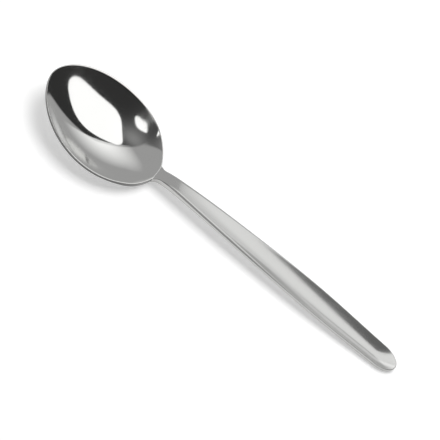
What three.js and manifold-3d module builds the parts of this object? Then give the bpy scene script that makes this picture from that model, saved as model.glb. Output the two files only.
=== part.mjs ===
// Dessert spoon pressed from stainless steel sheet: an egg-shaped bowl and a long dished handle,
// which meet on a square face at the neck. It lies as it does on a table: the bowl stands on a
// small flat on its underside and the handle on another close to its round end.
// X runs from the bowl's tip to the handle's end, Y across and Z up, in millimetres. The origin
// is on the table under the middle of the length.
import * as THREE from 'three';
import { mergeVertices } from 'three/addons/utils/BufferGeometryUtils.js';
import Module from 'manifold-3d';

// Lengths along the spoon
const OVERALL_LENGTH = 180; // bowl tip to handle end
const BOWL_LENGTH = 56.8; // bowl tip to the neck, where the hollow runs out and the handle begins
const SHOULDER_LENGTH = 11; // length over which the rim drops to the neck
const WEB_LENGTH = 1.4; // reach of the web that fills the corners beside the neck
const CREST_FROM_NECK = 15; // joint face to the highest point of the handle
const WIDEST_FROM_END = 42.5; // widest point of the handle to its end
const END_ROUND = 8; // length of the handle's rounded end
const DISH_FULL_FROM_END = 60; // where the handle's trough reaches its full depth, from the end
const DISH_RUNOUT = 10; // length over which the trough runs out again at the end
const THICKENING_LENGTH = 16; // length over which the sheet thickens from the bowl to the neck
const THINNING_LENGTH = 34; // and thins again from the neck into the handle
const SOFTENING_LENGTH = 12; // length over which the handle's upper edges get softer from the neck
const SOFT_EDGE_LENGTH = 36; // neck to where the handle's edges begin to get sharper again

// Widths across the spoon
const BOWL_WIDTH = 40.7;
const NECK_WIDTH = 4.7; // without the web
const WEB_WIDTH = 1.2; // added to each side of the neck at the joint face
const HANDLE_WIDTH = 11.5; // at the widest point
const END_WIDTH = 9.6; // where the handle's taper would reach its end

// Side view: rises of the sheet's upper edge over the neck
const TIP_RISE = 10.3;
const SHOULDER_DROP = 1.4; // part of the rim's fall that lies in the shoulders
const CREST_RISE = 2.7;
const END_LIFT = 0.3; // gap under the very end of the handle

// Hollows pressed into the upper face, and the sheet
const BOWL_DEPTH = 7.4; // under the rim, at half the bowl's length
const DISH_DEPTH = 1; // of the handle's shallow trough
const BOWL_THICKNESS = 1.4;
const NECK_THICKNESS = 3.1;
const HANDLE_THICKNESS = 2;
const EDGE_RADIUS = 0.3; // rounding of the sheet's edges
const SOFT_EDGE_RADIUS = 1.2; // rounding of the handle's upper edges behind the neck
const FLAT_DEPTH = 0.2; // metal taken off the bowl's underside to make the flat it rests on

// Shape of the curves
const TIP_SLOPE = -0.31; // slopes of the sheet's upper edge in side view
const NECK_SLOPE = -0.055; // where the rim ends
const RISE_SLOPE = 0.54; // where the handle leaves the neck
const END_SLOPE = -0.055;
const NECK_FLARE = 0.089; // growth of the handle's half width per length at the neck
const TIP_POWER = 0.56; // roundness of the bowl's outline at the tip: a half is a true round
const SHOULDER_POWER = 0.53; // and at the neck
const FILLET_POWER = 2.4; // sharpness of the corners between bowl and neck: more is sharper
const RIM_FLATTENING = 0.25; // share by which the hollows get less steep at their edges
const REAR_WALL_POWER = 3; // how late the bowl deepens to make up for the shoulders' drop

// Fineness of the faceted solids
const BOWL_STATIONS = 40;
const HANDLE_STATIONS = 48;
const FACE_STEPS = 14;
const EDGE_STEPS = 2;
const SLOPE_STEP = 0.001; // step for taking slopes of the outline

const STEEL_COLOUR = 0xc4c4c2;
const BOWL_ROUGHNESS = 0.06;
const HANDLE_ROUGHNESS = 0.28;
const SLAB_HEIGHT = 10; // block under the table's level that cuts the flats

const crestX = BOWL_LENGTH + CREST_FROM_NECK;
const widestX = OVERALL_LENGTH - WIDEST_FROM_END;

// Cubic curve between two points with given slopes
function cubic(x, [x0, y0, slope0], [x1, y1, slope1]) {
  const span = x1 - x0;
  const t = (x - x0) / span;
  const ease = t * t * (3 - 2 * t);
  const leave = t * (1 - t) * (1 - t) * span * slope0;
  const arrive = t * t * (t - 1) * span * slope1;
  return y0 + (y1 - y0) * ease + leave + arrive;
}

// Smooth step from 0 at `from` to 1 at `to`
function smooth(x, from, to) {
  return THREE.MathUtils.smoothstep(x, from, to);
}

// Place along the bowl: -1 at the tip, 0 half way, and 1 from the neck on
function alongBowl(x) {
  return Math.min((2 * x) / BOWL_LENGTH - 1, 1);
}

// Share of the last stretch of the handle, of the given length: 0 before it and 1 at the end
function alongEnd(x, stretch) {
  return THREE.MathUtils.clamp((x - OVERALL_LENGTH + stretch) / stretch, 0, 1);
}

// Half the bowl's width: an egg, (1 + s)^a (1 - s)^b over its own largest value
function bowlHalfWidth(x) {
  const s = alongBowl(x);
  const sum = TIP_POWER + SHOULDER_POWER;
  const largest = ((2 * TIP_POWER) / sum) ** TIP_POWER * ((2 * SHOULDER_POWER) / sum) ** SHOULDER_POWER;
  const egg = Math.max(1 + s, 0) ** TIP_POWER * (1 - s) ** SHOULDER_POWER;
  return ((BOWL_WIDTH / 2) * egg) / largest;
}

// Half the handle's width: it flares from the neck, narrows from its widest point and ends round.
// A web that fades as a bell curve widens it at the joint face.
function handleHalfWidth(x) {
  const neck = [BOWL_LENGTH, NECK_WIDTH / 2, NECK_FLARE];
  const widest = [widestX, HANDLE_WIDTH / 2, 0];
  const end = [OVERALL_LENGTH, END_WIDTH / 2, 0];
  const taper = x < widestX ? cubic(Math.max(x, BOWL_LENGTH), neck, widest) : cubic(x, widest, end);
  const web = WEB_WIDTH * Math.exp(-(((x - BOWL_LENGTH) / WEB_LENGTH) ** 2));
  return (taper + web) * Math.sqrt(1 - alongEnd(x, END_ROUND) ** 2);
}

// Half the spoon's width: bowl and handle joined through rounded corners by a power mean
function halfWidth(x) {
  const handle = handleHalfWidth(x) * smooth(x, BOWL_LENGTH / 2, BOWL_LENGTH);
  return (bowlHalfWidth(x) ** FILLET_POWER + handle ** FILLET_POWER) ** (1 / FILLET_POWER);
}

// Drop of the rim at the shoulders: nothing in the bowl, and all of it at the neck
function shoulderDrop(x) {
  return SHOULDER_DROP * smooth(x, BOWL_LENGTH - SHOULDER_LENGTH, BOWL_LENGTH);
}

// Depth of the upper face's middle below its edges: the bowl's hollow, then the handle's dish. The
// bowl deepens towards its rear so that the rim drops at the shoulders and the middle doesn't.
function hollow(x) {
  const s = alongBowl(x);
  const deeper = SHOULDER_DROP * ((1 + s) / 2) ** REAR_WALL_POWER - shoulderDrop(x);
  const begun = smooth(x, BOWL_LENGTH, OVERALL_LENGTH - DISH_FULL_FROM_END);
  const dish = begun * (1 - alongEnd(x, DISH_RUNOUT) ** 2);
  return BOWL_DEPTH * (1 - s * s) + deeper + DISH_DEPTH * dish;
}

// Height of the sheet, measured upright: thin in the bowl, thickest at the neck
function thickness(x) {
  const toNeck = smooth(x, BOWL_LENGTH - THICKENING_LENGTH, BOWL_LENGTH);
  const toHandle = smooth(x, BOWL_LENGTH, BOWL_LENGTH + THINNING_LENGTH);
  const rise = NECK_THICKNESS - BOWL_THICKNESS;
  return BOWL_THICKNESS + rise * toNeck + (HANDLE_THICKNESS - NECK_THICKNESS) * toHandle;
}

// Rounding of the upper edges: fuller in the first part of the handle
function upperEdgeRadius(x) {
  const begun = smooth(x, BOWL_LENGTH, BOWL_LENGTH + SOFTENING_LENGTH);
  const over = smooth(x, BOWL_LENGTH + SOFT_EDGE_LENGTH, widestX);
  return EDGE_RADIUS + (SOFT_EDGE_RADIUS - EDGE_RADIUS) * begun * (1 - over);
}

// Rise of the bowl's rim over the neck in side view: a gentle fall, and the drop of the shoulders
function rimRise(x) {
  const fall = cubic(x, [0, TIP_RISE, TIP_SLOPE], [BOWL_LENGTH, SHOULDER_DROP, NECK_SLOPE]);
  return fall - shoulderDrop(x);
}

// Height of the neck that lets the bowl's underside touch the table, sunk by the flat's depth
function findNeckHeight() {
  let lowest = Infinity;
  const steps = 400;
  for (let i = 0; i <= steps; i += 1) {
    const x = (BOWL_LENGTH * i) / steps;
    lowest = Math.min(lowest, rimRise(x) - hollow(x) - thickness(x));
  }
  return -lowest - FLAT_DEPTH;
}

const neckHeight = findNeckHeight();

// Height of the sheet's upper edge: the rim, the rise to the crest, and the fall to the table
function edgeHeight(x) {
  const neck = [BOWL_LENGTH, neckHeight, RISE_SLOPE];
  const crest = [crestX, neckHeight + CREST_RISE, 0];
  const end = [OVERALL_LENGTH, HANDLE_THICKNESS + END_LIFT, END_SLOPE];
  if (x < BOWL_LENGTH) {
    return neckHeight + rimRise(x);
  }
  return x < crestX ? cubic(x, neck, crest) : cubic(x, crest, end);
}

// Height of the upper face: across the sheet it is a parabola hung from the two edges, made less
// steep towards them
function faceHeight(x, y) {
  const square = Math.min(Math.abs(y) / halfWidth(x), 1) ** 2;
  return edgeHeight(x) - hollow(x) * (1 - square) * (1 - RIM_FLATTENING * square);
}

// Outward direction of the outline in plan, on the +Y side. The ends point along the spoon, and
// the joint face is square to its length.
function outlineNormal(x) {
  if (x <= 0) {
    return [-1, 0];
  }
  if (x >= OVERALL_LENGTH) {
    return [1, 0];
  }
  if (x === BOWL_LENGTH) {
    return [0, 1];
  }
  const before = halfWidth(Math.max(x - SLOPE_STEP, 0));
  const after = halfWidth(Math.min(x + SLOPE_STEP, OVERALL_LENGTH));
  const slope = (after - before) / (2 * SLOPE_STEP);
  const length = Math.hypot(1, slope);
  return [-slope / length, 1 / length];
}

// Row of points across one face of the sheet at a station, from left to right. The outline is drawn
// in by the edge's radius, and the edge rolls out from there by a quarter turn at both ends. `place`
// makes each point from its place in plan, the height of the upper face and the roll's drop.
function sectionRow(x, radius, place) {
  const [outX, outY] = outlineNormal(x);
  const innerX = x - radius * outX;
  const innerHalf = halfWidth(x) - radius * outY;
  const row = [];
  for (let k = -EDGE_STEPS; k <= FACE_STEPS + EDGE_STEPS; k += 1) {
    const share = THREE.MathUtils.clamp(k / FACE_STEPS, 0, 1);
    const side = k < FACE_STEPS / 2 ? -1 : 1;
    const rollSteps = Math.max(-k, k - FACE_STEPS, 0);
    const roll = ((rollSteps / EDGE_STEPS) * Math.PI) / 2;
    const innerY = (2 * share - 1) * innerHalf;
    const px = innerX + radius * Math.sin(roll) * outX;
    const py = innerY + side * radius * Math.sin(roll) * outY;
    row.push(place(px, py, faceHeight(innerX, innerY), radius * (1 - Math.cos(roll))));
  }
  return row;
}

// Closed ring of points round the sheet at one station: the upper face, then the lower face back
function sectionRing(x) {
  const sheet = thickness(x);
  const onTop = (px, py, top, drop) => new THREE.Vector3(px, py, top - drop);
  const below = (px, py, top, drop) => new THREE.Vector3(px, py, top - sheet + drop);
  const upper = sectionRow(x, upperEdgeRadius(x), onTop);
  const lower = sectionRow(x, EDGE_RADIUS, below);
  return [...upper, ...lower.reverse()];
}

// Closed skin over a row of rings, with a flat face over the ring at the joint
function skin(rings, jointRing) {
  const count = rings[0].length;
  const points = rings.flat();
  const faces = [];
  const quad = (a, b, c, d) => faces.push(a, b, c, a, c, d);
  for (let i = 0; i + 1 < rings.length; i += 1) {
    for (let j = 0; j < count; j += 1) {
      const next = (j + 1) % count;
      const here = i * count;
      const ahead = here + count;
      quad(here + j, ahead + j, ahead + next, here + next);
    }
  }
  const base = jointRing * count;
  for (let j = 0; j + 1 < count / 2; j += 1) {
    const corners = [base + j, base + j + 1, base + count - 2 - j, base + count - 1 - j];
    quad(...(jointRing === 0 ? corners : corners.reverse()));
  }
  const geometry = new THREE.BufferGeometry();
  const positions = points.flatMap((point) => point.toArray());
  geometry.setAttribute('position', new THREE.Float32BufferAttribute(positions, 3));
  geometry.setIndex(faces);
  return withoutSlivers(mergeVertices(geometry));
}

// The rings shrink to a line at the tip and at the end, so triangles without area are left out
function withoutSlivers(geometry) {
  const index = Array.from(geometry.index.array);
  const kept = [];
  for (let i = 0; i < index.length; i += 3) {
    const [a, b, c] = index.slice(i, i + 3);
    if (a !== b && b !== c && c !== a) {
      kept.push(a, b, c);
    }
  }
  geometry.setIndex(kept);
  return geometry;
}

const wasm = await Module();
wasm.setup();

// Closed mesh as a solid for cutting
function toSolid(geometry) {
  const bare = new THREE.BufferGeometry();
  bare.setAttribute('position', geometry.getAttribute('position').clone());
  bare.setIndex(geometry.index.clone());
  const merged = mergeVertices(bare);
  return new wasm.Manifold(new wasm.Mesh({
    numProp: 3,
    vertProperties: new Float32Array(merged.getAttribute('position').array),
    triVerts: new Uint32Array(merged.index.array),
  }));
}

// Solid back to a mesh geometry
function toGeometry(solid) {
  const mesh = solid.getMesh();
  const geometry = new THREE.BufferGeometry();
  geometry.setAttribute('position', new THREE.BufferAttribute(new Float32Array(mesh.vertProperties), 3));
  geometry.setIndex(new THREE.BufferAttribute(new Uint32Array(mesh.triVerts), 1));
  return geometry;
}

// Piece with what would sink into the table cut off, which leaves the flat that it rests on
function rested(geometry) {
  const slab = new THREE.BoxGeometry(OVERALL_LENGTH, BOWL_WIDTH, SLAB_HEIGHT);
  slab.translate(OVERALL_LENGTH / 2, 0, -SLAB_HEIGHT / 2);
  return toGeometry(toSolid(geometry).subtract(toSolid(slab)));
}

// Rings along a piece, closer together at both of its ends
function ringsBetween(from, to, count) {
  const rings = [];
  for (let i = 0; i <= count; i += 1) {
    const share = (1 - Math.cos((Math.PI * i) / count)) / 2;
    rings.push(sectionRing(i === count ? to : from + (to - from) * share));
  }
  return rings;
}

// Bowl from its tip to the joint
function bowlGeometry() {
  return rested(skin(ringsBetween(0, BOWL_LENGTH, BOWL_STATIONS), BOWL_STATIONS));
}

// Handle from the joint to its round end
function handleGeometry() {
  return rested(skin(ringsBetween(BOWL_LENGTH, OVERALL_LENGTH, HANDLE_STATIONS), 0));
}

function steelPiece(name, geometry, roughness) {
  geometry.computeVertexNormals();
  const material = new THREE.MeshStandardMaterial({ color: STEEL_COLOUR, roughness, metalness: 1 });
  const mesh = new THREE.Mesh(geometry, material);
  mesh.name = name;
  return mesh;
}

const spoon = new THREE.Group();
spoon.add(steelPiece('bowl', bowlGeometry(), BOWL_ROUGHNESS));
spoon.add(steelPiece('handle', handleGeometry(), HANDLE_ROUGHNESS));
spoon.position.x = -OVERALL_LENGTH / 2;

export default spoon;
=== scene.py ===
"""Dessert spoon of pressed stainless steel: a mirror-polished bowl and a satin handle."""
import logging
import math
from dataclasses import dataclass
from enum import Enum

import bmesh
import bpy
import numpy as np
from mathutils import Matrix, Vector


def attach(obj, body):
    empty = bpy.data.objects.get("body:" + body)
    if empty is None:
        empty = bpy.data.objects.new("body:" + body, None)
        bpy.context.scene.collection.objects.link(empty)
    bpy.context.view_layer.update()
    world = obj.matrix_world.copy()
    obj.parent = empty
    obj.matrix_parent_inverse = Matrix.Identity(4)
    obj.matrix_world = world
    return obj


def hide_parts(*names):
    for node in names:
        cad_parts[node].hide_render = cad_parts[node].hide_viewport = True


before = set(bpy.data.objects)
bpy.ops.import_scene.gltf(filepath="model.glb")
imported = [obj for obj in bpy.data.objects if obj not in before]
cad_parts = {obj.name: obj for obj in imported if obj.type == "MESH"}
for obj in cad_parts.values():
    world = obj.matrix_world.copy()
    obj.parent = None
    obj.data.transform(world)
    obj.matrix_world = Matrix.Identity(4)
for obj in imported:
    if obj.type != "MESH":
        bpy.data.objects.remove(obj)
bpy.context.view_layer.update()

LOG = logging.getLogger("spoon")
MM = 0.001
MERGE_DISTANCE = 2e-7
SLOPE_STEP = 1e-6
# Attribute that masks the painted shade on the sheet's rolled edges.
EDGE_LAYER = "edge_painted_shade"
SQUARE_CORNERS = 40.0
STRIP_ACROSS = (-0.894, 0.448, 0.0)
STRIP_ALONG = (-0.448, -0.894, 0.0)
WHITE = (1.0, 1.0, 1.0, 1.0)
Pair = tuple[float, float]
Triple = tuple[float, float, float]
Knot = tuple[float, float, float]
Socket = bpy.types.NodeSocket


class Face(Enum):
    """Side of the pressed sheet."""

    UPPER = 1
    LOWER = -1


def smooth(x: np.ndarray, start: float, end: float) -> np.ndarray:
    """Smooth step t * t * (3 - 2 * t), with t from 0 at start to 1 at end."""
    t = np.clip((x - start) / (end - start), 0.0, 1.0)
    return t * t * (3.0 - 2.0 * t)


def cubic(x: np.ndarray, first: Knot, last: Knot) -> np.ndarray:
    """Cubic curve between two points with given slopes.

    The height eases from the first to the last by a smooth step, and each slope adds a term that
    is zero at both points.

    Args:
        x: Places along the spoon.
        first: Place, height and slope where the curve starts.
        last: Place, height and slope where it ends.

    Returns:
        Heights of the curve at x.
    """
    span = last[0] - first[0]
    t = (x - first[0]) / span
    ease = first[1] + (last[1] - first[1]) * t * t * (3.0 - 2.0 * t)
    return ease + t * (1.0 - t) ** 2 * span * first[2] + t * t * (t - 1.0) * span * last[2]


@dataclass(frozen=True)
class SheetShape:
    """Shape of the pressed sheet, with x from 0 at the bowl's tip, in metres."""

    length: float = 180.0 * MM
    neck_x: float = 56.8 * MM
    shoulder_length: float = 11.0 * MM
    web_length: float = 1.4 * MM
    crest_x: float = 71.8 * MM
    widest_x: float = 137.5 * MM
    end_round: float = 8.0 * MM
    dish_full_x: float = 120.0 * MM
    dish_runout: float = 10.0 * MM
    thickening_length: float = 16.0 * MM
    thinning_length: float = 34.0 * MM
    softening_length: float = 12.0 * MM
    soft_edge_length: float = 36.0 * MM
    bowl_width: float = 40.7 * MM
    neck_width: float = 4.7 * MM
    web_width: float = 1.2 * MM
    handle_width: float = 11.5 * MM
    end_width: float = 9.6 * MM
    tip_rise: float = 10.3 * MM
    shoulder_drop: float = 1.4 * MM
    crest_rise: float = 2.7 * MM
    end_lift: float = 0.3 * MM
    bowl_depth: float = 7.4 * MM
    dish_depth: float = 1.0 * MM
    bowl_thickness: float = 1.4 * MM
    neck_thickness: float = 3.1 * MM
    handle_thickness: float = 2.0 * MM
    edge_radius: float = 0.3 * MM
    soft_edge_radius: float = 1.2 * MM
    flat_depth: float = 0.2 * MM
    tip_slope: float = -0.31
    neck_slope: float = -0.055
    rise_slope: float = 0.54
    end_slope: float = -0.055
    neck_flare: float = 0.089
    tip_power: float = 0.56
    shoulder_power: float = 0.53
    fillet_power: float = 2.4
    rim_flattening: float = 0.25
    rear_wall_power: float = 3.0
    height_steps: int = 401

    def along_bowl(self, x: np.ndarray) -> np.ndarray:
        """Place along the bowl: -1 at the tip and 1 at the joint and beyond."""
        return np.minimum(2.0 * x / self.neck_x - 1.0, 1.0)

    def along_end(self, x: np.ndarray, stretch: float) -> np.ndarray:
        """Share of the handle's last stretch: 0 before it and 1 at the end."""
        return np.clip((x - self.length + stretch) / stretch, 0.0, 1.0)

    def bowl_half_width(self, x: np.ndarray) -> np.ndarray:
        """Egg outline (1 + s)^a (1 - s)^b over its largest value, times half the bowl's width."""
        s = self.along_bowl(x)
        a, b = self.tip_power, self.shoulder_power
        largest = (2.0 * a / (a + b)) ** a * (2.0 * b / (a + b)) ** b
        egg = np.maximum(1.0 + s, 0.0) ** a * (1.0 - s) ** b
        return self.bowl_width / 2.0 * egg / largest

    def handle_half_width(self, x: np.ndarray) -> np.ndarray:
        """Half width of the handle.

        Two cubics flare from the neck to the widest point and narrow to the end, a bell curve
        adds the web beside the neck, and an ellipse rounds the end.

        Args:
            x: Places along the spoon.

        Returns:
            Half widths at x.
        """
        neck = (self.neck_x, self.neck_width / 2.0, self.neck_flare)
        widest = (self.widest_x, self.handle_width / 2.0, 0.0)
        end = (self.length, self.end_width / 2.0, 0.0)
        flare = cubic(np.maximum(x, self.neck_x), neck, widest)
        taper = np.where(x < self.widest_x, flare, cubic(x, widest, end))
        web = self.web_width * np.exp(-(((x - self.neck_x) / self.web_length) ** 2))
        return (taper + web) * np.sqrt(1.0 - self.along_end(x, self.end_round) ** 2)

    def half_width(self, x: np.ndarray) -> np.ndarray:
        """Bowl and handle joined through rounded corners by a power mean of both half widths."""
        handle = self.handle_half_width(x) * smooth(x, self.neck_x / 2.0, self.neck_x)
        p = self.fillet_power
        return (self.bowl_half_width(x) ** p + handle**p) ** (1.0 / p)

    def hollow(self, x: np.ndarray) -> np.ndarray:
        """Depth of the middle under the edges.

        The bowl's is a parabola along its length that runs out at the joint. It deepens by a
        power towards the rear, so that the rim drops at the shoulders and the middle doesn't.
        The handle's trough rises by a smooth step and runs out as a parabola.

        Args:
            x: Places along the spoon.

        Returns:
            Depths at x.
        """
        s = self.along_bowl(x)
        run = 1.0 - self.along_end(x, self.dish_runout) ** 2
        dish = self.dish_depth * smooth(x, self.neck_x, self.dish_full_x) * run
        rear = np.maximum((1.0 + s) / 2.0, 0.0) ** self.rear_wall_power
        deeper = self.shoulder_drop * rear - self.rim_drop(x)
        return self.bowl_depth * (1.0 - s * s) + deeper + dish

    def rim_drop(self, x: np.ndarray) -> np.ndarray:
        """Drop of the rim at the shoulders, by a smooth step that ends at the neck."""
        return self.shoulder_drop * smooth(x, self.neck_x - self.shoulder_length, self.neck_x)

    def thickness(self, x: np.ndarray) -> np.ndarray:
        """Upright height of the sheet, by smooth steps from bowl to neck and neck to handle."""
        to_neck = smooth(x, self.neck_x - self.thickening_length, self.neck_x)
        to_handle = smooth(x, self.neck_x, self.neck_x + self.thinning_length)
        rise = (self.neck_thickness - self.bowl_thickness) * to_neck
        return self.bowl_thickness + rise + (self.handle_thickness - self.neck_thickness) * to_handle

    def roll_radius(self, x: np.ndarray, face: Face) -> np.ndarray:
        """Radius of the rolled edge, which grows on the handle's upper face by smooth steps."""
        begun = smooth(x, self.neck_x, self.neck_x + self.softening_length)
        over = smooth(x, self.neck_x + self.soft_edge_length, self.widest_x)
        grown = (self.soft_edge_radius - self.edge_radius) * begun * (1.0 - over)
        return self.edge_radius + (grown if face is Face.UPPER else 0.0 * x)

    def rim_rise(self, x: np.ndarray) -> np.ndarray:
        """Height of the rim over the neck: a cubic fall less the drop at the shoulders."""
        tip = (0.0, self.tip_rise, self.tip_slope)
        neck = (self.neck_x, self.shoulder_drop, self.neck_slope)
        return cubic(x, tip, neck) - self.rim_drop(x)

    def neck_height(self) -> float:
        """Height of the neck that sinks the bowl's lowest point into the table by the flat's depth."""
        x = np.linspace(0.0, self.neck_x, self.height_steps)
        lowest = np.min(self.rim_rise(x) - self.hollow(x) - self.thickness(x))
        return float(-lowest - self.flat_depth)

    def edge_height(self, x: np.ndarray) -> np.ndarray:
        """Height of the upper edge: the rim, a cubic to the crest and a cubic to the end."""
        base = self.neck_height()
        neck = (self.neck_x, base, self.rise_slope)
        crest = (self.crest_x, base + self.crest_rise, 0.0)
        end = (self.length, self.handle_thickness + self.end_lift, self.end_slope)
        handle = np.where(x < self.crest_x, cubic(x, neck, crest), cubic(x, crest, end))
        return np.where(x < self.neck_x, base + self.rim_rise(x), handle)

    def face_height(self, x: np.ndarray, y: np.ndarray) -> np.ndarray:
        """Height of the upper face.

        Across the sheet it is a parabola hung from the two edges, times a factor that falls with
        the square of the distance from the middle and makes it less steep at the edges.

        Args:
            x: Places along the spoon.
            y: Places across it.

        Returns:
            Heights at x and y.
        """
        square = np.minimum(np.abs(y) / np.maximum(self.half_width(x), MERGE_DISTANCE), 1.0) ** 2
        profile = (1.0 - square) * (1.0 - self.rim_flattening * square)
        return self.edge_height(x) - self.hollow(x) * profile

    def outline_normal(self, x: np.ndarray) -> tuple[np.ndarray, np.ndarray]:
        """Outward direction of the outline in plan on the +Y side.

        It is square to the outline's slope, points along the spoon at both ends and straight
        across at the joint.

        Args:
            x: Places along the spoon.

        Returns:
            Its parts along X and Y.
        """
        ahead = self.half_width(np.minimum(x + SLOPE_STEP, self.length))
        behind = self.half_width(np.maximum(x - SLOPE_STEP, 0.0))
        slope = np.where(x == self.neck_x, 0.0, (ahead - behind) / (2.0 * SLOPE_STEP))
        size = np.hypot(1.0, slope)
        at_tip, at_end = x <= 0.0, x >= self.length
        out_x = np.where(at_tip, -1.0, np.where(at_end, 1.0, -slope / size))
        return out_x, np.where(at_tip | at_end, 0.0, 1.0 / size)

    def section_rows(self, x: np.ndarray, face: Face, across: int, rolls: int) -> np.ndarray:
        """Rows of points across one face of the sheet, one row for each station.

        The outline is drawn in by the edge's radius along its normal. From there the edge rolls
        out by a quarter circle: out by the radius times the sine, and towards the middle of the
        sheet by the radius times one less the cosine.

        Args:
            x: Stations along the spoon.
            face: Side of the sheet.
            across: Steps over the face.
            rolls: Steps over each rolled edge.

        Returns:
            Points as an array of stations by places by 3.
        """
        k = np.arange(-rolls, across + rolls + 1)[None, :]
        share = np.clip(k / across, 0.0, 1.0)
        side = np.where(k < across / 2, -1.0, 1.0)
        turn = np.maximum(np.maximum(-k, k - across), 0) / rolls * (math.pi / 2.0)
        radius = self.roll_radius(x, face)[:, None]
        out_x, out_y = (part[:, None] for part in self.outline_normal(x))
        inner_x = x[:, None] - radius * out_x
        inner_y = (2.0 * share - 1.0) * (self.half_width(x)[:, None] - radius * out_y)
        drop = radius * (1.0 - np.cos(turn))
        under = 0.0 if face is Face.UPPER else self.thickness(x)[:, None]
        height = self.face_height(inner_x, inner_y) - under - face.value * drop
        px = inner_x + radius * np.sin(turn) * out_x
        py = inner_y + side * radius * np.sin(turn) * out_y
        return np.stack(np.broadcast_arrays(px - self.length / 2.0, py, np.maximum(height, 0.0)), -1)


class NodeSheet:
    """Node tree of a material or of the world, with short calls to add and join nodes."""

    def __init__(self, tree: bpy.types.NodeTree) -> None:
        """Empties the tree and keeps it."""
        self.tree = tree
        tree.nodes.clear()

    def add(self, kind: str, inputs: dict | None = None, **settings: object) -> bpy.types.Node:
        """Adds a node.

        Args:
            kind: Type of the node, without its ShaderNode prefix.
            inputs: Values or sockets for its inputs, by name or number.
            **settings: The node's own settings.

        Returns:
            The new node.
        """
        node = self.tree.nodes.new("ShaderNode" + kind)
        for name, value in settings.items():
            setattr(node, name, value)
        for name, value in (inputs or {}).items():
            if isinstance(value, Socket):
                self.tree.links.new(value, node.inputs[name])
            else:
                node.inputs[name].default_value = value
        return node

    def math(self, operation: str, first: Socket | float, second: Socket | float = 0.0) -> Socket:
        """Adds a math node and returns its result."""
        return self.add("Math", {0: first, 1: second}, operation=operation).outputs[0]

    def remap(self, value: Socket, source: Pair, target: Pair) -> Socket:
        """Adds a node that carries one range to another, and returns its result."""
        ends = {"Value": value, 1: source[0], 2: source[1], 3: target[0], 4: target[1]}
        return self.add("MapRange", ends).outputs[0]

    def metal_tint(self, worn: Socket, bright: Triple, dull: Triple, edge: Triple) -> Socket:
        """Adds the metal's colour: bright to dull by wear, with painted shade on the sheet's rolled
        edge.

        Args:
            worn: Socket with the wear, from 0 to 1.
            bright: Colour without wear.
            dull: Colour with full wear.
            edge: Colour of the rolled edge, where shade is painted.

        Returns:
            Socket with the colour.
        """
        face = self.add("Mix", {"Factor": worn, 6: (*bright, 1.0), 7: (*dull, 1.0)}, data_type="RGBA")
        # Painted shade on the rolled edges, by the edge attribute.
        edge_shade_mask = self.add("Attribute", attribute_name=EDGE_LAYER).outputs["Fac"]
        both = self.add("Mix", {"Factor": edge_shade_mask, 6: face.outputs[2], 7: (*edge, 1.0)}, data_type="RGBA")
        return both.outputs[2]

    def streaks(self, scale: Triple, turn: float, detail: float) -> Socket:
        """Adds noise drawn out into streaks.

        Args:
            scale: Streaks per metre along X, Y and Z.
            turn: Turn of the streaks about Z, in radians.
            detail: Octaves of the noise.

        Returns:
            The noise, from 0 to 1.
        """
        place = self.add("TexCoord").outputs["Object"]
        turned = self.add("Mapping", {"Vector": place, "Rotation": (0.0, 0.0, turn)})
        drawn = self.add("VectorMath", {0: turned.outputs[0], 1: scale}, operation="MULTIPLY")
        noise = {"Vector": drawn.outputs[0], "Scale": 1.0, "Detail": detail}
        return self.add("TexNoise", noise).outputs["Fac"]


@dataclass(frozen=True)
class MirrorSteel:
    """Polished steel: hairline scratches in three directions, faint waviness, painted shade on the
    edges.
    """

    tint: Triple = (0.63, 0.63, 0.62)
    dull_tint: Triple = (0.59, 0.59, 0.58)
    # Painted shade: the rolled edges go nearly black, standing in for the shadow they would mirror.
    edge_shade_tint: Triple = (0.1, 0.1, 0.098)
    scratch_turns: Triple = (0.3, 1.25, 2.3)
    scratch_scale: Triple = (60.0, 2600.0, 2600.0)
    scratch_octaves: float = 2.0
    scratch_range: Pair = (0.55, 0.8)
    roughness: Pair = (0.06, 0.11)
    wave_scale: float = 260.0
    wave_octaves: float = 2.0
    wave_height: float = 0.000004

    def material(self) -> bpy.types.Material:
        """Makes the material and returns it."""
        made = bpy.data.materials.new("polished_steel")
        made.use_nodes = True
        sheet = NodeSheet(made.node_tree)
        layers = [sheet.streaks(self.scratch_scale, turn, self.scratch_octaves)
                  for turn in self.scratch_turns]
        deepest = sheet.math("MAXIMUM", sheet.math("MAXIMUM", layers[0], layers[1]), layers[2])
        rough = sheet.remap(deepest, self.scratch_range, self.roughness)
        wave = sheet.streaks((self.wave_scale,) * 3, 0.0, self.wave_octaves)
        bump = sheet.add("Bump", {"Height": wave, "Strength": 1.0, "Distance": self.wave_height})
        tint = sheet.metal_tint(deepest, self.tint, self.dull_tint, self.edge_shade_tint)
        inputs = {"Metallic": 1.0, "Roughness": rough, "Base Color": tint, "Normal": bump.outputs[0]}
        shader = sheet.add("BsdfPrincipled", inputs)
        sheet.add("OutputMaterial", {"Surface": shader.outputs[0]})
        return made


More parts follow.
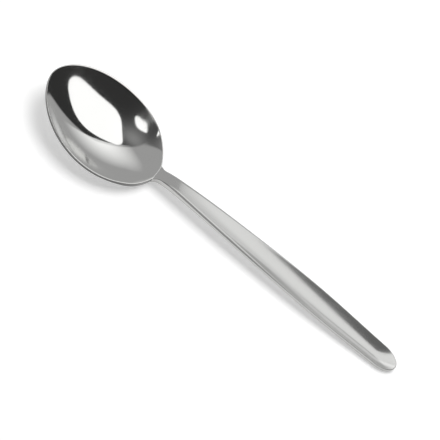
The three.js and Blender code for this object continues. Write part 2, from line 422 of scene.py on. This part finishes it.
@dataclass(frozen=True)
class SatinSteel:
    """Satin steel, brushed along the handle, with softer cloudy wear and painted shade on its edges.
    """

    tint: Triple = (0.63, 0.63, 0.62)
    dull_tint: Triple = (0.585, 0.585, 0.575)
    # Painted shade: the rolled edges are darkened, standing in for the dark that they would mirror.
    edge_shade_tint: Triple = (0.5, 0.5, 0.49)
    brush_share: float = 0.6
    brush_scale: Triple = (45.0, 3200.0, 3200.0)
    brush_octaves: float = 3.0
    cloud_scale: Triple = (60.0, 260.0, 260.0)
    cloud_octaves: float = 2.0
    wear_range: Pair = (0.3, 0.7)
    roughness: Pair = (0.1, 0.18)
    brush_height: float = 0.000002

    def material(self) -> bpy.types.Material:
        """Makes the material and returns it."""
        made = bpy.data.materials.new("satin_steel")
        made.use_nodes = True
        sheet = NodeSheet(made.node_tree)
        brush = sheet.streaks(self.brush_scale, 0.0, self.brush_octaves)
        cloud = sheet.streaks(self.cloud_scale, 0.0, self.cloud_octaves)
        both = sheet.math("ADD", sheet.math("MULTIPLY", brush, self.brush_share),
                          sheet.math("MULTIPLY", cloud, 1.0 - self.brush_share))
        rough = sheet.remap(both, self.wear_range, self.roughness)
        bump = sheet.add("Bump", {"Height": brush, "Strength": 1.0, "Distance": self.brush_height})
        tint = sheet.metal_tint(both, self.dull_tint, self.tint, self.edge_shade_tint)
        inputs = {"Metallic": 1.0, "Roughness": rough, "Base Color": tint, "Normal": bump.outputs[0]}
        shader = sheet.add("BsdfPrincipled", inputs)
        sheet.add("OutputMaterial", {"Surface": shader.outputs[0]})
        return made


@dataclass
class SpoonPiece:
    """One piece of the spoon: a closed skin over rings of points round the sheet."""

    shape: SheetShape
    node: str
    slot: str
    finish: MirrorSteel | SatinSteel
    stations: int = 220
    across: int = 72
    rolls: int = 6

    def ends(self) -> tuple[float, float]:
        """Places along the spoon where the piece starts and ends."""
        raise NotImplementedError

    def joint_station(self) -> int:
        """Number of the station that lies on the joint face."""
        raise NotImplementedError

    def places(self) -> np.ndarray:
        """Stations closer together at both ends of the piece, by a half cosine wave."""
        start, end = self.ends()
        turn = np.linspace(0.0, math.pi, self.stations + 1)
        places = start + (end - start) * (1.0 - np.cos(turn)) / 2.0
        places[-1] = end
        return places

    def faces(self, count: int) -> np.ndarray:
        """Quads between neighbouring rings, and a flat face over the joint's ring.

        Args:
            count: Points in a ring.

        Returns:
            Point numbers, four to a row.
        """
        ring, place = np.meshgrid(np.arange(self.stations), np.arange(count), indexing="ij")
        here, following = ring * count + place, ring * count + (place + 1) % count
        sides = np.stack([here, here + count, following + count, following], -1).reshape(-1, 4)
        j = np.arange(count // 2 - 1)
        base = self.joint_station() * count
        cap = base + np.stack([j, j + 1, count - 2 - j, count - 1 - j], -1)
        return np.concatenate([sides, cap if self.joint_station() == 0 else cap[:, ::-1]])

    def edge_shade_shares(self) -> np.ndarray:
        """Mask of the edge's painted shade round a ring: 0 on both faces, growing with the roll to 1.
        """
        k = np.arange(-self.rolls, self.across + self.rolls + 1)
        row = np.clip(np.maximum(-k, k - self.across) / self.rolls, 0.0, 1.0)
        return np.concatenate([row, row]).astype(np.float32)

    def build(self) -> bpy.types.Object:
        """Makes the piece's mesh from its rings and links it into the scene.

        Returns:
            The piece.
        """
        x = self.places()
        upper = self.shape.section_rows(x, Face.UPPER, self.across, self.rolls)
        lower = self.shape.section_rows(x, Face.LOWER, self.across, self.rolls)
        rings = np.concatenate([upper, lower[:, ::-1]], 1)
        quads = self.faces(rings.shape[1])
        mesh = bpy.data.meshes.new(self.node + "_skin")
        mesh.from_pydata(rings.reshape(-1, 3).tolist(), [], quads.tolist())
        # Mask of the painted shade on the rolled edges.
        layer = mesh.attributes.new(EDGE_LAYER, "FLOAT", "POINT")
        layer.data.foreach_set("value", np.tile(self.edge_shade_shares(), len(x)))
        caps = rings.shape[1] // 2 - 1
        flags = np.ones(len(quads), bool)
        flags[-caps:] = False
        mesh.polygons.foreach_set("use_smooth", flags)
        work = bmesh.new()
        work.from_mesh(mesh)
        bmesh.ops.remove_doubles(work, verts=work.verts, dist=MERGE_DISTANCE)
        work.to_mesh(mesh)
        work.free()
        piece = bpy.data.objects.new(self.node + "_piece", mesh)
        bpy.context.scene.collection.objects.link(piece)
        return piece

    def dress(self, piece: bpy.types.Object) -> None:
        """Gives the piece its finish and its body, and hides the model's part that it stands for."""
        piece.data.materials.append(self.finish.material())
        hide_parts(self.node)
        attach(piece, "root")


@dataclass
class Bowl(SpoonPiece):
    """Bowl from the tip to the joint face."""

    def ends(self) -> tuple[float, float]:
        """The bowl's tip and the joint."""
        return 0.0, self.shape.neck_x

    def joint_station(self) -> int:
        """The last station."""
        return self.stations


@dataclass
class Handle(SpoonPiece):
    """Handle from the joint face to its round end."""

    def ends(self) -> tuple[float, float]:
        """The joint and the handle's end."""
        return self.shape.neck_x, self.shape.length

    def joint_station(self) -> int:
        """The first station."""
        return 0


@dataclass(frozen=True)
class Softbox:
    """Flat lamp with an even face, rectangular or with rounded corners."""

    name: str
    centre: Triple
    across: Triple
    along: Triple
    size: Pair
    radiance: float
    corner_power: float = SQUARE_CORNERS
    spread: float = math.pi
    fade_start: float = 0.0
    fade_end: float = 1.0

    def grid_share(self) -> float:
        """Share of the light that a grid of this spread lets through, (tan h - h) / tan h."""
        half = self.spread / 2.0
        return (math.tan(half) - half) / math.tan(half) if self.spread < math.pi else 1.0

    def shade(self, lamp: bpy.types.AreaLight) -> None:
        """Leaves the lamp's corners dark and fades its light towards its end across.

        The face is lit where the two places on it, from -1 to 1, each raised to the corners'
        power, sum to less than 1. From the place where the fade starts, the light falls evenly to
        the share that is left at the end.

        Args:
            lamp: The lamp.
        """
        lamp.use_nodes = True
        sheet = NodeSheet(lamp.node_tree)
        place = sheet.add("NewGeometry").outputs["Parametric"]
        centred = sheet.add("VectorMath", {0: place, 1: (2.0,) * 3, 2: (-1.0,) * 3},
                            operation="MULTIPLY_ADD")
        parts = sheet.add("SeparateXYZ", {0: centred.outputs[0]}).outputs
        powers = [sheet.math("POWER", sheet.math("ABSOLUTE", part), self.corner_power)
                  for part in (parts["X"], parts["Y"])]
        lit = sheet.math("LESS_THAN", sheet.math("ADD", *powers), 1.0)
        left = sheet.remap(parts["X"], (self.fade_start, 1.0), (1.0, self.fade_end))
        glow = sheet.add("Emission", {"Strength": sheet.math("MULTIPLY", lit, left)})
        sheet.add("OutputLight", {"Surface": glow.outputs[0]})

    def hang(self, lights: list[bpy.types.Object] | None = None) -> bpy.types.Object:
        """Hangs the lamp with its face towards the object.

        Args:
            lights: Objects that the lamp lights, or None for all of them.

        Returns:
            The lamp.
        """
        lamp = bpy.data.lights.new(self.name, "AREA")
        lamp.shape = "RECTANGLE"
        lamp.size, lamp.size_y = self.size
        lamp.energy = self.radiance * math.pi * self.size[0] * self.size[1] * self.grid_share()
        lamp.spread = self.spread
        self.shade(lamp)
        across, along = Vector(self.across).normalized(), Vector(self.along).normalized()
        back = across.cross(along).normalized()
        turn = Matrix((across, back.cross(across), back)).transposed()
        hung = bpy.data.objects.new(self.name, lamp)
        hung.matrix_world = Matrix.Translation(self.centre) @ turn.to_4x4()
        hung.visible_camera = False
        bpy.context.scene.collection.objects.link(hung)
        if lights is not None:
            group = bpy.data.collections.new(self.name + "_lights")
            for each in lights:
                group.objects.link(each)
            hung.light_linking.receiver_collection = group
        return hung


@dataclass
class Studio:
    """Pale floor, softboxes and the room that the polished steel mirrors."""

    floor_half: float = 30.0
    floor_level: float = -0.00005
    floor_tint: float = 0.8
    floor_lift: float = 0.36
    room_dark: float = 0.045
    wall_edges: tuple[Triple, ...] = ((-2.0, 1.0, -0.625), (-1.2, 1.0, -0.9), (0.0, -1.0, -1.8))
    wall_blur: float = 0.03
    wall_even: float = 0.5
    ceiling_grey: float = 0.3
    ceiling_towards: Triple = (-0.19, -0.08, 1.0)
    ceiling_power: float = 32.0
    key: Softbox = Softbox(
        "key_softbox", centre=(0.2737, 0.2349, 0.7697), across=(0.6683, 0.4154, -0.6171),
        along=(-0.3722, 0.905, 0.2061), size=(0.993, 0.874), radiance=1.6, corner_power=3.5)
    window: Softbox = Softbox(
        "window_softbox", centre=(-0.648, -1.207, 3.067), across=(0.548, 0.3208, -0.7725),
        along=(-0.6815, 0.7068, -0.1899), size=(1.732, 0.56), radiance=1.6, corner_power=4.0)
    glow: Softbox = Softbox(
        "glow_softbox", centre=(-0.141, 0.821, 0.609), across=(-0.817, 0.563, -0.121),
        along=(-0.491, -0.572, 0.657), size=(0.635, 1.642), radiance=1.32,
        spread=math.radians(84.75))
    strip: Softbox = Softbox(
        "handle_softbox", centre=(0.13, 0.326, 0.6), across=STRIP_ACROSS, along=STRIP_ALONG,
        size=(0.316, 0.9), radiance=1.05, fade_start=0.1, fade_end=0.62)
    end: Softbox = Softbox(
        "end_softbox", centre=(0.281, 0.474, 0.6), across=STRIP_ACROSS, along=STRIP_ALONG,
        size=(0.178, 0.5), radiance=0.8)
    low: Softbox = Softbox(
        "low_softbox", centre=(0.44, 1.01, 0.6), across=STRIP_ACROSS, along=STRIP_ALONG,
        size=(0.218, 0.6), radiance=0.45)
    overhead: Softbox = Softbox(
        "overhead_softbox", centre=(0.31, 0.068, 0.6), across=STRIP_ACROSS, along=STRIP_ALONG,
        size=(0.238, 0.8), radiance=0.13)
    fill: Softbox = Softbox(
        "fill_softbox", centre=(0.25, -0.65, 0.7), across=(1.0, 0.0, 0.0), along=(0.0, 1.0, 0.0),
        size=(1.1, 0.88), radiance=0.4)
    table: Softbox = Softbox(
        "table_softbox", centre=(0.02, 0.32, 1.12), across=(1.0, -0.005, -0.0165),
        along=(0.0, 0.961, -0.275), size=(0.75, 0.75), radiance=5.9)

    def seen_directly(self, sheet: NodeSheet) -> Socket:
        """Adds what is 1 for rays from the camera, from metal and through glass, and 0 for others."""
        path = sheet.add("LightPath").outputs
        seen = sheet.math("MAXIMUM", path["Is Camera Ray"], path["Is Glossy Ray"])
        return sheet.math("MAXIMUM", seen, path["Is Transmission Ray"])

    def lay_floor(self) -> bpy.types.Object:
        """Lays the floor, a level square that is white and keeps the object's shadow.

        Returns:
            The floor.
        """
        half = self.floor_half
        corners = np.array([[-half, -half], [half, -half], [half, half], [-half, half]])
        points = np.column_stack([corners, np.full(4, self.floor_level)])
        mesh = bpy.data.meshes.new("floor_face")
        mesh.from_pydata(points.tolist(), [], [(0, 1, 2, 3)])
        floor = bpy.data.objects.new("floor", mesh)
        bpy.context.scene.collection.objects.link(floor)
        paper = bpy.data.materials.new("white_paper")
        paper.use_nodes = True
        sheet = NodeSheet(paper.node_tree)
        tone = (self.floor_tint,) * 3 + (1.0,)
        matt = sheet.add("BsdfDiffuse", {"Color": tone}).outputs[0]
        lift = sheet.math("MULTIPLY", self.seen_directly(sheet), self.floor_lift)
        glow = sheet.add("Emission", {"Strength": lift}).outputs[0]
        both = sheet.add("AddShader", {0: matt, 1: glow}).outputs[0]
        sheet.add("OutputMaterial", {"Surface": both})
        mesh.materials.append(paper)
        return floor

    def bell(self, sheet: NodeSheet, ray: Socket, towards: Triple, power: float) -> Socket:
        """Adds a bell that is 1 in a direction: a power of the cosine of the angle from it.

        Args:
            sheet: Nodes of the world.
            ray: Socket with the ray's direction.
            towards: Direction of the bell's top.
            power: Narrowness of the bell.

        Returns:
            Socket with the bell.
        """
        top = tuple(Vector(towards).normalized())
        near = sheet.add("VectorMath", {0: ray, 1: top}, operation="DOT_PRODUCT")
        return sheet.math("POWER", sheet.math("MAXIMUM", near.outputs["Value"], 0.0), power)

    def paint_room(self) -> None:
        """Paints the world: a dark room with pale walls behind straight edges.

        The walls are where the direction lies on the far side of any of some planes through the
        object. The room has a grey ceiling, a bell curve of the angle from its middle.
        """
        world = bpy.data.worlds.new("room")
        bpy.context.scene.world = world
        world.use_nodes = True
        sheet = NodeSheet(world.node_tree)
        ray = sheet.add("TexCoord").outputs["Generated"]
        sides = [sheet.add("VectorMath", {0: ray, 1: edge}, operation="DOT_PRODUCT").outputs["Value"]
                 for edge in self.wall_edges]
        beyond = sides[0]
        for side in sides[1:]:
            beyond = sheet.math("MAXIMUM", beyond, side)
        wall = sheet.remap(beyond, (-self.wall_blur, self.wall_blur), (0.0, 1.0))
        grey = self.bell(sheet, ray, self.ceiling_towards, self.ceiling_power)
        dark = sheet.math("ADD", sheet.math("MULTIPLY", grey, self.ceiling_grey), self.room_dark)
        mixed = sheet.add("Mix", {"Factor": wall, "A": dark, "B": self.wall_even}, data_type="FLOAT")
        background = sheet.add("Background", {"Color": WHITE, "Strength": mixed.outputs["Result"]})
        sheet.add("OutputWorld", {"Surface": background.outputs[0]})

    def build(self, bowl: bpy.types.Object, handle: bpy.types.Object) -> None:
        """Sets up the floor, the room and the lamps.

        Args:
            bowl: The polished piece, which mirrors the key, the window and the glow.
            handle: The satin piece, which mirrors the strips over the table.
        """
        floor = self.lay_floor()
        self.paint_room()
        self.table.hang([floor])
        for lamp in (self.key, self.window, self.glow):
            lamp.hang([bowl])
        for lamp in (self.strip, self.end, self.low, self.overhead, self.fill):
            lamp.hang([handle])
        bpy.context.scene.view_settings.view_transform = "Standard"


@dataclass(frozen=True)
class PhotoCamera:
    """Camera that looks down on the spoon from the near side, rolled so that it lies aslant."""

    target: Triple = (-0.001642, 0.0041, 0.0)
    elevation: float = math.radians(59.348)
    azimuth: float = math.radians(-8.277)
    roll: float = math.radians(45.65)
    distance: float = 0.95094
    lens: float = 195.06
    sensor: float = 36.0

    def build(self) -> None:
        """Makes the camera and sets it as the scene's."""
        ce, se = math.cos(self.elevation), math.sin(self.elevation)
        ca, sa = math.cos(self.azimuth), math.sin(self.azimuth)
        looking = Vector((-ce * sa, ce * ca, -se))
        level = Vector((ca, sa, 0.0))
        rising = level.cross(looking)
        right = math.cos(self.roll) * level + math.sin(self.roll) * rising
        above = math.cos(self.roll) * rising - math.sin(self.roll) * level
        data = bpy.data.cameras.new("photo_camera")
        data.lens, data.sensor_width = self.lens, self.sensor
        camera = bpy.data.objects.new("photo_camera", data)
        turn = Matrix((right, above, -looking)).transposed()
        place = Vector(self.target) - looking * self.distance
        camera.matrix_world = Matrix.Translation(place) @ turn.to_4x4()
        bpy.context.scene.collection.objects.link(camera)
        bpy.context.scene.camera = camera


def main() -> None:
    """Builds the spoon's pieces, the studio and the camera."""
    logging.basicConfig(level=logging.INFO)
    shape = SheetShape()
    parts = [
        Bowl(shape, "bowl", "polished_steel", MirrorSteel()),
        Handle(shape, "handle", "satin_steel", SatinSteel()),
    ]
    made = [part.build() for part in parts]
    for part, piece in zip(parts, made):
        part.dress(piece)
        LOG.info("%s: %d faces", piece.name, len(piece.data.polygons))
    Studio().build(*made)
    PhotoCamera().build()


if __name__ == "__main__":
    main()
